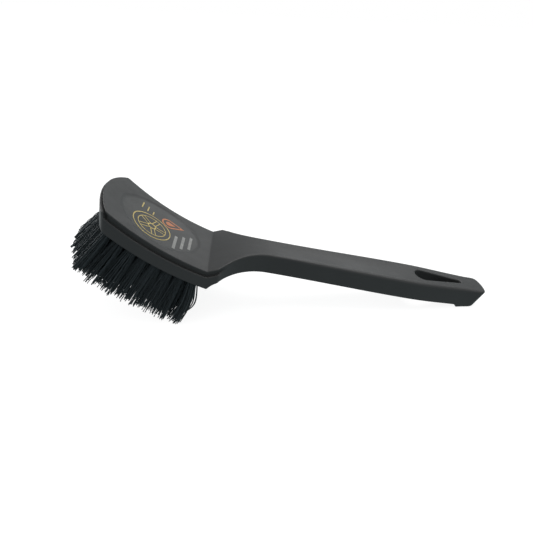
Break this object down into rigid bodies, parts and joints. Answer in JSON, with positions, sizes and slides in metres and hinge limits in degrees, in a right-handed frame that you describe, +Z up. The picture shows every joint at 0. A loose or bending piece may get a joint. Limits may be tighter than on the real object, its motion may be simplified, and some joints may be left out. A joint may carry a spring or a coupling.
{
  "type": "wheel brush",
  "caption": "Short-handled wheel and tyre scrubbing brush with a curved head of stiff bristle and a slot in the handle to hang it by.",
  "frame": {"origin": "centre of the bounding box, at the table that the brush stands on", "axes": "+X along the brush towards the handle's end, +Y across it, +Z up; the handle leans 10.5 degrees, because the brush rests on its foot and on the tips of its last row of bristle"},
  "size_m": [0.2625, 0.0552, 0.0783],
  "materials": {
    "body": "fine satin grain",
    "bristle": "crimped black polypropylene filament",
    "anchor": "drawn flat wire",
    "ink_yellow": "pad-printed ink",
    "ink_orange": "pad-printed ink",
    "ink_white": "pad-printed ink"
  },
  "bodies": {
    "root": {"moulded_body": "body", "bristle_row_1": "bristle", "bristle_row_2": "bristle", "bristle_row_3": "bristle", "bristle_row_4": "bristle", "bristle_row_5": "bristle", "bristle_row_6": "bristle", "bristle_row_7": "bristle", "bristle_row_8": "bristle", "anchor_row_1": "anchor", "anchor_row_2": "anchor", "anchor_row_3": "anchor", "anchor_row_4": "anchor", "anchor_row_5": "anchor", "anchor_row_6": "anchor", "anchor_row_7": "anchor", "anchor_row_8": "anchor", "print_wheel": "ink_yellow", "print_drop": "ink_orange", "print_bars": "ink_white"}
  },
  "joints": []
}
